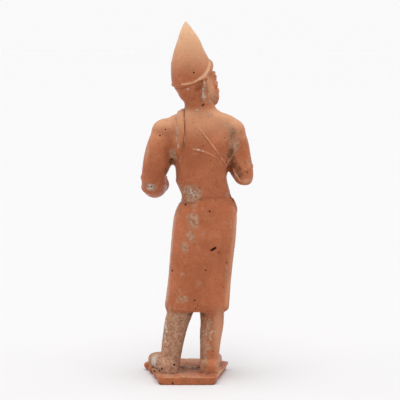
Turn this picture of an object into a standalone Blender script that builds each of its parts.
"""Terracotta tomb figure of a bearded foreigner in a tall pointed hat, standing on its own thin plinth.

The figure and its plinth are one fired piece, so they are one solid. The figure is built from lofted
masses that are fused into one skin, smoothed as wet clay is, carved, thinned to few faces and then
joined to the plinth. Lengths of the figure are in drawing units, of which DRAWN_HEIGHT make its height:
x runs to the figure's left, y to its back and z up from the plinth's top.
"""

import math

import bmesh
import bpy
import numpy as np
from mathutils import Matrix, Vector
from mathutils.bvhtree import BVHTree

# Real sizes, in metres
FIGURE_HEIGHT = 0.344
PLINTH_THICKNESS = 0.008
PLINTH_WIDTH = 0.085
PLINTH_BACK_WIDTH = 0.057
PLINTH_FRONT_WIDTH = 0.050
PLINTH_DEPTH = 0.075
PLINTH_CORNER_SETBACK = 0.014
PLINTH_EDGE_BEVEL = 0.0012
PLINTH_UNDERCUT = 0.0034

# Drawing units of the figure
DRAWN_HEIGHT = 344.0
UNIT = FIGURE_HEIGHT / DRAWN_HEIGHT
SOLE_SINK = 1.6
RING_SIDES = 36
MASS_VOXEL = 1.9
DETAIL_VOXEL = 1.05
MASS_SMOOTHING = 9
DETAIL_SMOOTHING = 3
FIGURE_TRIANGLES = 9300

TERRACOTTA = (0.52, 0.215, 0.115, 1.0)

# Rows of the trunk: height, centre x, centre y, half width, half depth, squareness
TRUNK = (
    (61.2, -9.8, 3.2, 30.6, 21.6, 2.6),
    (63.4, -9.5, 3.2, 32.0, 23.2, 2.6),
    (76.0, -10.9, 2.6, 31.7, 23.0, 2.5),
    (100.0, -13.2, 2.0, 31.3, 22.6, 2.5),
    (125.0, -15.6, 1.6, 31.8, 22.8, 2.5),
    (141.0, -16.9, 1.4, 31.8, 22.8, 2.45),
    (152.0, -17.9, 1.2, 31.4, 22.4, 2.4),
    (160.0, -19.0, 0.8, 30.2, 21.4, 2.35),
    (166.0, -19.6, 0.4, 27.8, 19.6, 2.3),
    (170.0, -19.4, 0.0, 25.2, 18.0, 2.3),
    (174.0, -18.8, 0.0, 24.2, 17.6, 2.3),
    (180.0, -16.9, 0.3, 24.7, 18.2, 2.3),
    (188.0, -14.3, 0.8, 25.2, 18.8, 2.3),
    (197.0, -14.1, 1.4, 25.2, 19.2, 2.3),
    (208.0, -14.4, 2.2, 27.4, 19.6, 2.35),
    (220.0, -15.2, 3.0, 33.0, 19.2, 2.4),
    (232.0, -14.4, 3.6, 36.0, 17.6, 2.4),
    (240.0, -13.8, 4.0, 37.0, 15.8, 2.3),
    (247.0, -14.4, 4.2, 35.4, 13.8, 2.2),
    (252.0, -14.5, 4.2, 30.4, 12.4, 2.1),
    (256.5, -13.8, 4.2, 19.0, 11.4, 2.0),
    (260.5, -12.8, 4.0, 15.4, 11.4, 2.0),
    (270.0, -11.2, 3.6, 14.0, 12.4, 2.0),
    (286.0, -9.6, 3.0, 13.4, 13.2, 2.0),
)

# Rows of a limb: x, y, z, radius
LEFT_ARM = (
    (20.0, 4.0, 239.0, 11.5),
    (23.6, 4.6, 229.0, 13.2),
    (27.0, 5.0, 219.0, 13.4),
    (29.7, 5.6, 206.0, 13.7),
    (32.6, 6.2, 196.0, 12.0),
    (33.0, 5.4, 189.0, 11.8),
    (32.8, 0.0, 183.6, 11.8),
    (31.2, -9.0, 181.4, 11.1),
    (29.4, -19.0, 181.6, 9.6),
    (27.8, -27.0, 182.0, 9.0),
)
RIGHT_ARM = (
    (-42.4, 4.0, 239.5, 11.5),
    (-47.0, 4.6, 228.0, 12.4),
    (-50.2, 5.0, 219.0, 11.4),
    (-54.0, 5.6, 206.0, 9.7),
    (-55.5, 5.0, 197.3, 9.6),
    (-55.2, 0.4, 193.7, 9.7),
    (-48.6, -9.0, 201.4, 8.7),
    (-41.0, -17.0, 209.0, 8.8),
    (-33.5, -23.0, 215.0, 8.6),
)
LEFT_LEG = (
    (4.8, 9.0, 66.0, 13.0),
    (7.4, 9.6, 58.0, 12.2),
    (10.5, 10.2, 48.0, 11.6),
    (12.9, 11.2, 36.0, 11.1),
    (15.0, 12.4, 23.5, 10.4),
    (16.6, 13.2, 11.0, 9.8),
    (17.0, 13.4, 5.0, 9.6),
)
RIGHT_LEG = (
    (-24.2, 9.0, 66.0, 12.6),
    (-24.7, 9.6, 58.0, 11.9),
    (-24.9, 10.4, 48.0, 11.5),
    (-23.6, 11.5, 36.0, 10.9),
    (-22.6, 12.6, 23.5, 9.9),
    (-22.0, 13.4, 11.0, 9.4),
    (-21.8, 13.6, 5.0, 9.4),
)

# A bunch of cloth that hangs at the right hip
HIP_FOLD = (
    (-42.0, 1.0, 171.5, 2.8),
    (-43.6, 0.0, 166.0, 4.2),
    (-44.6, -0.6, 160.0, 5.3),
    (-44.8, -1.2, 155.0, 4.6),
    (-44.6, -1.4, 149.0, 2.6),
)

# Rows of a boot: share of its length from the heel, half width, height
BOOT = (
    (0.00, 5.0, 8.0),
    (0.05, 7.6, 11.5),
    (0.15, 9.2, 15.5),
    (0.32, 9.6, 17.5),
    (0.50, 9.4, 15.5),
    (0.68, 10.0, 13.4),
    (0.82, 9.8, 12.4),
    (0.93, 7.8, 10.6),
    (1.00, 4.2, 7.0),
)
LEFT_BOOT_ENDS = ((15.0, 26.6), (33.2, -22.0))
RIGHT_BOOT_ENDS = ((-21.0, 26.8), (-26.0, -24.0))

# Clay squeezed out past the plinth's left edge, under the boot: centre and radii
EDGE_LUMPS = (
    ((39.8, -21.5, -3.2), (4.8, 6.0, 4.2)),
    ((35.0, -6.5, -3.4), (4.4, 6.4, 4.2)),
)

# Rows of the hat: x, y, z of a ring's centre, its radius and how far it slants, in degrees
HAT = (
    (-4.7, 2.6, 285.4, 16.4, 22.5),
    (-4.7, 2.6, 288.4, 18.9, 22.5),
    (-4.2, 3.0, 293.0, 19.4, 21.0),
    (-3.4, 3.6, 299.4, 19.3, 18.0),
    (-2.2, 4.4, 307.0, 17.9, 12.0),
    (-1.6, 5.4, 317.0, 14.3, 7.0),
    (-1.4, 6.2, 326.0, 10.9, 5.0),
    (-0.1, 7.0, 335.0, 6.4, 2.0),
    (0.7, 7.4, 341.0, 3.0, 0.0),
    (1.0, 7.6, 344.2, 1.0, 0.0),
)
HAT_RIM = (-4.7, 2.6, 288.4)
HAT_RIM_RADIUS = 18.4
HAT_RIM_SLANT = 22.5
BRIM_HEIGHT_BACK = 2.0
BRIM_HEIGHT_FRONT = 11.8
# Where the brim starts and ends its climb: 0 at the nape, 1 over the forehead
BRIM_CLIMB = (0.42, 0.85)
# Rows of the brim's section: share of its height, how far out, and how much further out in front
BRIM_SECTION = ((0.0, -2.5, 0.0), (-0.1, 0.0, 0.2), (0.1, 1.2, 0.6), (0.5, 1.6, 1.4), (0.85, 1.0, 0.9),
                (1.05, -0.6, -0.6), (1.0, -2.4, -1.4), (0.5, -2.6, 0.0))

HEAD_CENTRE = (-9.0, 2.5, 284.0)
HEAD_TURN = -57.0
HEAD_TILT = -9.0


def clear_scene():
    for obj in list(bpy.data.objects):
        bpy.data.objects.remove(obj)


def material(name, colour, roughness):
    made = bpy.data.materials.new(name)
    made.use_nodes = True
    shader = made.node_tree.nodes["Principled BSDF"]
    shader.inputs["Base Color"].default_value = colour
    shader.inputs["Roughness"].default_value = roughness
    shader.inputs["Metallic"].default_value = 0.0
    return made


# Masses

def eased(rows, steps=4):
    """More rows between the given ones, on smooth curves through them."""
    rows = np.array(rows, float)
    ends = np.vstack([2 * rows[0] - rows[1], rows, 2 * rows[-1] - rows[-2]])
    made = []
    for a, b, c, d in zip(ends, ends[1:], ends[2:], ends[3:]):
        for t in np.arange(steps) / steps:
            bend = (2 * a - 5 * b + 4 * c - d) * t * t + (3 * b - a - 3 * c + d) * t ** 3
            made.append(0.5 * (2 * b + (c - a) * t + bend))
    made.append(rows[-1])
    return np.array(made)


def ring(centre, across, along, squareness=2.0):
    """Points of a rounded outline round the centre, out to the two vectors."""
    angles = np.arange(RING_SIDES) * 2 * math.pi / RING_SIDES
    power = 2.0 / squareness
    u = np.sign(np.cos(angles)) * np.abs(np.cos(angles)) ** power
    v = np.sign(np.sin(angles)) * np.abs(np.sin(angles)) ** power
    return np.array(centre) + u[:, None] * np.array(across) + v[:, None] * np.array(along)


def skin(rings):
    """A closed mesh through rings of equal length."""
    made = bmesh.new()
    rows = [[made.verts.new(point) for point in one] for one in rings]
    for low, high in zip(rows, rows[1:]):
        for i in range(RING_SIDES):
            j = (i + 1) % RING_SIDES
            made.faces.new((low[i], low[j], high[j], high[i]))
    made.faces.new(rows[0][::-1])
    made.faces.new(rows[-1])
    bmesh.ops.recalc_face_normals(made, faces=made.faces)
    return made


def tube(rows, flatness=1.0, steps=4):
    """A round-ended limb along rows of x, y, z, radius. Flatness scales it along the first side vector."""
    rows = eased(rows, steps)
    points = rows[:, :3]
    radii = rows[:, 3]
    ways = np.gradient(points, axis=0)
    ways /= np.linalg.norm(ways, axis=1)[:, None]
    side = np.cross(ways[0], (0.0, 0.0, 1.0))
    if np.linalg.norm(side) < 0.3:
        side = np.cross(ways[0], (0.0, 1.0, 0.0))
    rings = []
    for end in (0.15, 0.55, 0.85):
        tip = points[0] - ways[0] * radii[0] * math.cos(math.asin(end))
        rings.append((tip, ways[0], radii[0] * end))
    rings += list(zip(points, ways, radii))
    for end in (0.85, 0.55, 0.15):
        tip = points[-1] + ways[-1] * radii[-1] * math.cos(math.asin(end))
        rings.append((tip, ways[-1], radii[-1] * end))
    made = []
    for point, way, radius in rings:
        side = side - way * np.dot(side, way)
        side /= np.linalg.norm(side)
        made.append(ring(point, side * radius * flatness, np.cross(way, side) * radius))
    return skin(made)


def ellipsoid(centre, radii, turn=None):
    made = bmesh.new()
    bmesh.ops.create_uvsphere(made, u_segments=24, v_segments=16, radius=1.0)
    place = Matrix.Translation(centre) @ (turn or Matrix.Identity(4)) @ Matrix.Diagonal((*radii, 1.0))
    bmesh.ops.transform(made, matrix=place, verts=made.verts)
    return made


def trunk():
    rows = eased(TRUNK, 3)
    return skin([ring((x, y, z), (a, 0, 0), (0, b, 0), power) for z, x, y, a, b, power in rows])


def boot(ends):
    heel, toe = (np.array((*end, 0.0)) for end in ends)
    way = (toe - heel) / np.linalg.norm(toe - heel)
    side = np.cross(way, (0.0, 0.0, 1.0))
    rings = []
    for share, half_width, height in eased(BOOT, 3):
        middle = heel + (toe - heel) * share
        middle[2] = (height - SOLE_SINK) / 2
        rings.append(ring(middle, side * half_width, (0, 0, (height + SOLE_SINK) / 2), 2.6))
    return skin(rings)


def face_way():
    """The way that the face looks, on the level."""
    turn = math.radians(HEAD_TURN)
    return np.array((math.sin(turn), -math.cos(turn), 0.0))


def slanted_ring(centre, radius, slant):
    """A slanting cut through an upright cylinder, higher on the side under the face's way."""
    front = face_way()
    side = np.cross(front, (0.0, 0.0, 1.0))
    front[2] = math.tan(math.radians(slant))
    return ring(centre, front * radius, side * radius)


def hat():
    return skin([slanted_ring((x, y, z), radius, slant) for x, y, z, radius, slant in eased(HAT, 4)])


def brim():
    """The turned-up edge of the hat: a thin roll at the nape that climbs to a tall one over the forehead."""
    made = bmesh.new()
    foot = slanted_ring(HAT_RIM, HAT_RIM_RADIUS, HAT_RIM_SLANT)
    outward = foot - np.array(HAT_RIM)
    outward[:, 2] = 0
    outward /= np.linalg.norm(outward, axis=1)[:, None]
    front = (1 + np.cos(np.arange(RING_SIDES) * 2 * math.pi / RING_SIDES)) / 2
    height = BRIM_HEIGHT_BACK + (BRIM_HEIGHT_FRONT - BRIM_HEIGHT_BACK) * rise(front, *BRIM_CLIMB)
    rows = []
    for share, out, flare in BRIM_SECTION:
        points = foot + outward * (out + flare * front)[:, None]
        points[:, 2] += height * share
        rows.append([made.verts.new(point) for point in points])
    for low, high in zip(rows, rows[1:] + rows[:1]):
        for i in range(RING_SIDES):
            j = (i + 1) % RING_SIDES
            made.faces.new((low[i], low[j], high[j], high[i]))
    bmesh.ops.recalc_face_normals(made, faces=made.faces)
    return made


def head_frame():
    """From the head's own units, with the face along -y, to the figure's."""
    turn = Matrix.Rotation(math.radians(HEAD_TURN), 4, "Z")
    return Matrix.Translation(HEAD_CENTRE) @ turn @ Matrix.Rotation(math.radians(HEAD_TILT), 4, "X")


def in_head(made):
    bmesh.ops.transform(made, matrix=head_frame(), verts=made.verts)
    return made


def head_masses():
    skull = ellipsoid((0, 3.0, 3.0), (17.0, 20.0, 19.5))
    face = ellipsoid((0, -8.5, -3), (14.2, 11.5, 19.5))
    jaw = ellipsoid((0, -6.5, -12), (13.2, 12.5, 10.5))
    nape = ellipsoid((0, 8.4, -5.5), (12.2, 11.8, 12.5))
    return [in_head(one) for one in (skull, face, jaw, nape)]


def beard():
    """A full beard from ear to ear with a short point under the chin."""
    chin = ellipsoid((0, -10.5, -15.5), (14.2, 11.0, 9.5))
    point = ellipsoid((0, -13.5, -19.0), (9.5, 7.6, 6.6))
    whiskers = [chin, point]
    for side in (-1, 1):
        whiskers.append(ellipsoid((side * 11.2, -6.5, -10.5), (5.0, 8.0, 9.5)))
    return [in_head(one) for one in whiskers]


def face_features():
    features = [
        tube(((0, -18.6, 6.0, 2.0), (0, -20.2, 1.5, 2.2), (0, -22.6, -3.6, 2.7))),
        tube(((-9.8, -15.6, 5.8, 1.6), (-5.5, -18.3, 7.4, 2.0), (0, -18.8, 6.2, 1.7),
              (5.5, -18.3, 7.4, 2.0), (9.8, -15.6, 5.8, 1.6))),
        tube(((-3.6, -20.0, -13.4, 1.2), (0, -21.2, -13.6, 1.7), (3.6, -20.0, -13.4, 1.2))),
    ]
    for side in (-1, 1):
        features += [
            ellipsoid((side * 2.7, -20.4, -4.6), (1.8, 2.2, 1.6)),
            ellipsoid((side * 6.4, -17.0, 2.6), (3.8, 2.3, 2.3)),
            ellipsoid((side * 8.8, -12.8, -4.4), (5.4, 5.0, 5.4)),
            tube(((side * 0.8, -20.9, -9.0, 1.5), (side * 4.5, -20.2, -9.8, 1.9),
                  (side * 8.8, -17.6, -11.6, 1.7), (side * 11.6, -14.6, -12.6, 0.9))),
            tube(((side * 16.4, -0.5, 4.5, 1.9), (side * 17.9, 1.8, 2.6, 2.1),
                  (side * 17.6, 1.6, -1.8, 2.0), (side * 16.2, -1.0, -4.4, 1.8))),
        ]
    return [in_head(one) for one in features]


def fist(wrist, ahead, inner, size):
    """A closed hand past the wrist: the palm, four fingers curled one over the other, and a thumb on top."""
    ahead = np.array(ahead) / np.linalg.norm(ahead)
    up = np.cross(ahead, inner)
    up = up if up[2] > 0 else -up
    up /= np.linalg.norm(up)
    inner = np.cross(up, ahead) * math.copysign(1.0, np.dot(np.cross(up, ahead), inner))

    def at(forward, inwards, above, radius):
        point = np.array(wrist) + (ahead * forward + inner * inwards + up * above) * size
        return (*point, radius * size)

    parts = [tube((at(-3, 0, 0, 5.2), at(2, 0, 0, 5.6), at(6.0, 0, 0, 5.4)))]
    for i in range(4):
        above = 5.1 - 3.3 * i
        reach = 8.6 - 0.5 * abs(i - 1)
        knuckles = (at(4.0, -4.2, above, 1.9), at(reach, -2.6, above, 2.0), at(reach + 0.6, 1.8, above, 2.0))
        parts.append(tube((*knuckles, at(6.0, 5.4, above, 2.0), at(2.2, 5.0, above, 1.8)), steps=3))
    parts.append(tube((at(-1.0, 3.0, 4.6, 2.3), at(4.0, 3.6, 7.2, 2.2), at(8.2, 1.8, 7.4, 1.9)), steps=3))
    return parts


def cuff(end, back, radius):
    """A thick sleeve edge round the wrist."""
    end = np.array(end)
    way = (end - np.array(back)) / np.linalg.norm(end - np.array(back))
    rows = [(*(end - way * 3.0), radius - 0.4), (*end, radius + 0.6), (*(end + way * 0.6), radius + 0.5)]
    return tube(rows, steps=2)


def masses():
    arms = [tube(LEFT_ARM), tube(RIGHT_ARM)]
    left_shoulder = ellipsoid((19.5, 4.0, 237.2), (15.4, 13.2, 13.0))
    right_shoulder = ellipsoid((-43.0, 4.0, 237.2), (14.3, 12.8, 13.3))
    blades = [ellipsoid((side * 16.0 - 14.0, 13.0, 224.0), (13.0, 8.4, 16.0)) for side in (-1, 1)]
    belly = ellipsoid((-17.0, -11.5, 150.0), (22.0, 12.0, 26.0))
    legs = [tube(LEFT_LEG), tube(RIGHT_LEG)]
    return [trunk(), *arms, left_shoulder, right_shoulder, *blades, belly, *legs, *head_masses(), hat()]


def details():
    hip_fold = tube(HIP_FOLD)
    parts = [boot(LEFT_BOOT_ENDS), boot(RIGHT_BOOT_ENDS), brim(), hip_fold]
    parts += beard() + face_features()
    parts += [ellipsoid(centre, radii) for centre, radii in EDGE_LUMPS]
    parts += fist((28.4, -30.5, 182.6), (-0.14, -1.0, 0.02), (-1.0, 0.2, 0.0), 1.0)
    parts += fist((-30.6, -24.8, 217.4), (0.8, -0.42, 0.55), (0.4, 0.9, 0.0), 1.15)
    parts.append(cuff(LEFT_ARM[-1][:3], LEFT_ARM[-2][:3], LEFT_ARM[-1][3]))
    parts.append(cuff(RIGHT_ARM[-1][:3], RIGHT_ARM[-2][:3], RIGHT_ARM[-1][3]))
    return parts


# Fusing

def fused(shapes, voxel, name):
    """One closed mesh round all the shapes."""
    whole = bpy.data.meshes.new(name)
    joined = bmesh.new()
    for shape in shapes:
        if isinstance(shape, bmesh.types.BMesh):
            shape.to_mesh(whole)
            shape.free()
            joined.from_mesh(whole)
        else:
            joined.from_mesh(shape)
    joined.to_mesh(whole)
    joined.free()
    obj = bpy.data.objects.new(name, whole)
    bpy.context.scene.collection.objects.link(obj)
    remesh = obj.modifiers.new("One skin", "REMESH")
    remesh.mode = "VOXEL"
    remesh.voxel_size = voxel
    made = evaluated_mesh(obj)
    bpy.data.objects.remove(obj)
    return made


def evaluated_mesh(obj):
    bpy.context.view_layer.update()
    graph = bpy.context.evaluated_depsgraph_get()
    return bpy.data.meshes.new_from_object(obj.evaluated_get(graph))


def points_of(mesh):
    points = np.empty(len(mesh.vertices) * 3, np.float32)
    mesh.vertices.foreach_get("co", points)
    return points.reshape(-1, 3).astype(float)


def normals_of(mesh):
    normals = np.empty(len(mesh.vertices) * 3, np.float32)
    mesh.vertices.foreach_get("normal", normals)
    return normals.reshape(-1, 3).astype(float)


def move_points(mesh, points):
    mesh.vertices.foreach_set("co", points.astype(np.float32).ravel())
    mesh.update()


def smoothed(mesh, rounds, pull=0.55, push=-0.57):
    """Evens the mesh out without shrinking it: each round pulls the points in and pushes them back."""
    edges = np.empty(len(mesh.edges) * 2, np.int32)
    mesh.edges.foreach_get("vertices", edges)
    edges = edges.reshape(-1, 2)
    points = points_of(mesh)
    links = np.bincount(edges.ravel(), minlength=len(points))[:, None]
    for step in [pull, push] * rounds:
        total = np.zeros_like(points)
        for axis in range(3):
            total[:, axis] += np.bincount(edges[:, 0], points[edges[:, 1], axis], len(points))
            total[:, axis] += np.bincount(edges[:, 1], points[edges[:, 0], axis], len(points))
        points = points + step * (total / links - points)
    move_points(mesh, points)
    return mesh


# Carving

def rise(value, low, high):
    """0 below low, 1 above high, and smooth between."""
    t = np.clip((value - low) / (high - low), 0.0, 1.0)
    return t * t * (3 - 2 * t)


def path_measures(points, path):
    """For each point: how far it is from the path, and the share of the path's length it is beside."""
    path = np.array(path, float)
    spans = np.linalg.norm(np.diff(path, axis=0), axis=1)
    starts = np.concatenate([[0.0], np.cumsum(spans)[:-1]])
    nearest = np.full(len(points), np.inf)
    beside = np.zeros(len(points))
    for start, end, span, before in zip(path, path[1:], spans, starts):
        t = np.clip((points - start) @ (end - start) / span ** 2, 0.0, 1.0)
        away = np.linalg.norm(points - start - t[:, None] * (end - start), axis=1)
        closer = away < nearest
        nearest = np.where(closer, away, nearest)
        beside = np.where(closer, before + t * span, beside)
    return nearest, beside / spans.sum()


def side_of(points, path):
    """Distance from a path seen from behind, in x and z: positive on the right of its way."""
    flat = points[:, [0, 2]]
    path = np.array(path, float)[:, [0, 2]]
    nearest = np.full(len(points), np.inf)
    signed = np.zeros(len(points))
    for start, end in zip(path, path[1:]):
        way = end - start
        t = np.clip((flat - start) @ way / (way @ way), 0.0, 1.0)
        gap = flat - start - t[:, None] * way
        away = np.linalg.norm(gap, axis=1)
        side = np.sign(gap[:, 0] * way[1] - gap[:, 1] * way[0])
        closer = away < nearest
        nearest = np.where(closer, away, nearest)
        signed = np.where(closer, -side * away, signed)
    return signed


def on_skin(tree, path, steps=5):
    """The path, smoothed and laid on the skin."""
    return [tree.find_nearest(Vector(point))[0] for point in eased(path, steps)]


def raised_band(points, path, start_half_width, end_half_width, height, edge, taper):
    """A flat strap along the path. Taper is the share of its length over which each end thins."""
    away, beside = path_measures(points, path)
    ends = rise(np.minimum(beside, 1 - beside), 0.0, taper)
    half_width = start_half_width + (end_half_width - start_half_width) * rise(beside, 0.4, 0.8)
    return height * ends * rise(half_width * (0.3 + 0.7 * ends) - away, -edge / 2, edge / 2)


def raised_cord(points, path, width, height, taper=0.1):
    """A soft ridge along the path."""
    away, beside = path_measures(points, path)
    ends = rise(np.minimum(beside, 1 - beside), -1e-6, taper)
    return height * ends * np.exp(-((away / width) ** 2))


# Paths on the figure
LAPEL = (
    (6.0, 18.0, 212.0), (5.9, 24.0, 222.0), (5.9, 20.0, 240.0), (5.8, 12.0, 252.2), (4.6, 2.0, 255.8),
    (2.0, -8.0, 251.0), (-2.0, -18.0, 236.0), (-7.5, -22.0, 214.0), (-13.5, -22.0, 194.0),
    (-19.0, -20.0, 177.0),
)
COAT_EDGE = (
    (-7.2, 22.0, 247.4), (-14.5, 24.0, 238.0), (-25.0, 22.0, 224.0), (-35.8, 19.0, 210.0),
    (-38.0, 16.0, 204.0),
)
COAT_FOLD = (
    (-3.0, 24.0, 221.6), (-15.6, 24.0, 218.5), (-25.3, 22.0, 214.6), (-32.0, 20.0, 209.4),
    (-38.5, 14.0, 203.0),
)
BLOUSE_HEM = (
    (11.0, 6.0, 188.0), (4.2, 14.0, 187.0), (-8.0, 20.0, 191.0), (-18.4, 20.0, 194.7), (-30.0, 18.0, 196.6),
    (-37.5, 13.0, 197.5), (-41.0, 2.0, 196.0), (-38.0, -10.0, 193.0), (-26.0, -18.0, 188.0),
    (-12.0, -20.0, 185.0), (2.0, -16.0, 185.0), (10.0, -4.0, 187.0), (11.0, 6.0, 188.0),
)
WAIST = (
    (7.0, 2.0, 168.0), (3.0, 12.0, 168.2), (-5.4, 18.0, 169.1), (-13.7, 19.0, 172.0), (-26.0, 19.0, 172.8),
    (-35.9, 14.0, 173.3), (-43.5, 3.0, 172.6), (-42.0, -9.0, 171.0), (-30.0, -18.0, 169.5),
    (-18.0, -20.0, 169.0), (-6.0, -18.0, 168.5), (4.0, -10.0, 168.0), (7.0, 2.0, 168.0),
)
BACK_PANEL_EDGE = ((-45.0, 10.0, 166.0), (-44.8, 13.0, 137.5), (-40.3, 13.0, 93.3), (-37.0, 13.0, 58.0))
FRONT_PANEL_EDGE = ((-22.0, -20.0, 169.0), (-24.0, -22.0, 140.0), (-22.0, -22.0, 100.0), (-19.0, -20.0, 56.0))
NECKLINE = (
    (3.0, 0.0, 257.0), (-3.0, -10.0, 254.0), (-13.0, -14.0, 250.0), (-24.0, -10.5, 254.0),
    (-29.5, 0.0, 257.0),
)
SLEEVE_FOLDS = (
    ((43.0, -2.0, 196.0), (38.0, 12.0, 190.0), (28.0, 18.0, 190.0)),
    ((42.0, -6.0, 187.0), (38.0, 6.0, 180.0), (28.0, 12.0, 178.5)),
    ((-64.0, 0.0, 206.0), (-58.0, 14.0, 201.0), (-49.0, 14.0, 204.0)),
    ((-62.0, -4.0, 196.0), (-56.0, 6.0, 187.0), (-47.0, 2.0, 194.0)),
    ((-43.0, 14.0, 232.0), (-46.0, 17.0, 220.0), (-47.0, 16.0, 208.0)),
)


def carve(mesh):
    """Moves the skin out or in where cloth edges, folds and straps lie."""
    points, normals = points_of(mesh), normals_of(mesh)
    tree = BVHTree.FromPolygons([Vector(p) for p in points], [tuple(f.vertices) for f in mesh.polygons])
    behind = rise(normals[:, 1], 0.05, 0.35)
    before = rise(-normals[:, 1], 0.05, 0.35)

    lift = raised_band(points, on_skin(tree, LAPEL), 3.3, 5.4, 2.0, edge=1.6, taper=0.15)
    lift += raised_cord(points, on_skin(tree, NECKLINE), 1.8, 1.3, taper=0.1)
    lift += raised_cord(points, on_skin(tree, COAT_EDGE), 1.0, 1.1) * behind
    lift += raised_cord(points, on_skin(tree, COAT_FOLD), 1.5, 1.1) * behind

    away, beside = path_measures(points, on_skin(tree, BLOUSE_HEM))
    lift += 0.55 * np.exp(-((away / 2.2) ** 2))
    away, beside = path_measures(points, on_skin(tree, WAIST))
    lift -= 0.9 * np.exp(-((away / 1.5) ** 2))

    for path, side, reach in ((BACK_PANEL_EDGE, behind, 10.0), (FRONT_PANEL_EDGE, before, 12.0)):
        away, beside = path_measures(points, on_skin(tree, path))
        outer = rise(-side_of(points, path), -0.7, 0.7)
        lift += 1.0 * outer * rise(-away, -reach, -1.0) * side

    for fold in SLEEVE_FOLDS:
        lift += raised_cord(points, on_skin(tree, fold), 2.2, 0.9, taper=0.3)
    move_points(mesh, points + normals * lift[:, None])
    return mesh


# The whole

def figure():
    """The fused, carved and thinned figure, in metres, with its soles sunk in the plinth."""
    body = smoothed(fused(masses(), MASS_VOXEL, "masses"), MASS_SMOOTHING)
    body = smoothed(fused([body, *details()], DETAIL_VOXEL, "details"), DETAIL_SMOOTHING)
    body = carve(body)
    body.transform(Matrix.Translation((0, 0, PLINTH_THICKNESS)) @ Matrix.Scale(UNIT, 4))
    obj = bpy.data.objects.new("foreigner_figure", body)
    bpy.context.scene.collection.objects.link(obj)
    triangles = sum(len(face.vertices) - 2 for face in body.polygons)
    thin = obj.modifiers.new("Few faces", "DECIMATE")
    thin.ratio = min(1.0, FIGURE_TRIANGLES / triangles)
    thin.use_collapse_triangulate = True
    obj.data = evaluated_mesh(obj)
    obj.modifiers.clear()
    return obj


def plinth():
    """A six-sided slab, widest towards the front, with sides that lean in below and eased edges."""
    half_depth = PLINTH_DEPTH / 2
    corner_y = -half_depth + PLINTH_CORNER_SETBACK
    half_widths = (PLINTH_BACK_WIDTH / 2, PLINTH_WIDTH / 2, PLINTH_FRONT_WIDTH / 2)
    right = list(zip(half_widths, (half_depth, corner_y, -half_depth)))
    outline = right + [(-x, y) for x, y in reversed(right)]
    lean = 1 - 2 * PLINTH_UNDERCUT / PLINTH_WIDTH
    made = bmesh.new()
    floor = [made.verts.new((x * lean, y, 0.0)) for x, y in reversed(outline)]
    top = [made.verts.new((x, y, PLINTH_THICKNESS)) for x, y in reversed(outline)]
    made.faces.new(floor)
    made.faces.new(top[::-1])
    for i in range(len(floor)):
        j = (i + 1) % len(floor)
        made.faces.new((floor[i], top[i], top[j], floor[j]))
    bmesh.ops.recalc_face_normals(made, faces=made.faces)
    mesh = bpy.data.meshes.new("plinth")
    made.to_mesh(mesh)
    made.free()
    obj = bpy.data.objects.new("plinth", mesh)
    bpy.context.scene.collection.objects.link(obj)
    ease = obj.modifiers.new("Eased edges", "BEVEL")
    ease.width = PLINTH_EDGE_BEVEL
    ease.segments = 2
    return obj


def build():
    clear_scene()
    clay = material("terracotta", TERRACOTTA, 0.85)
    obj = figure()
    slab = plinth()
    join = obj.modifiers.new("On its plinth", "BOOLEAN")
    join.operation = "UNION"
    join.object = slab
    slab.hide_render = True
    slab.display_type = "WIRE"
    obj.data.materials.clear()
    obj.data.materials.append(clay)
    parts = bpy.data.collections.new("terracotta_foreigner")
    helpers = bpy.data.collections.new("cutters")
    for one, home in ((obj, parts), (slab, helpers)):
        bpy.context.scene.collection.objects.unlink(one)
        home.objects.link(one)
    bpy.context.scene.collection.children.link(parts)
    bpy.context.scene.collection.children.link(helpers)


build()
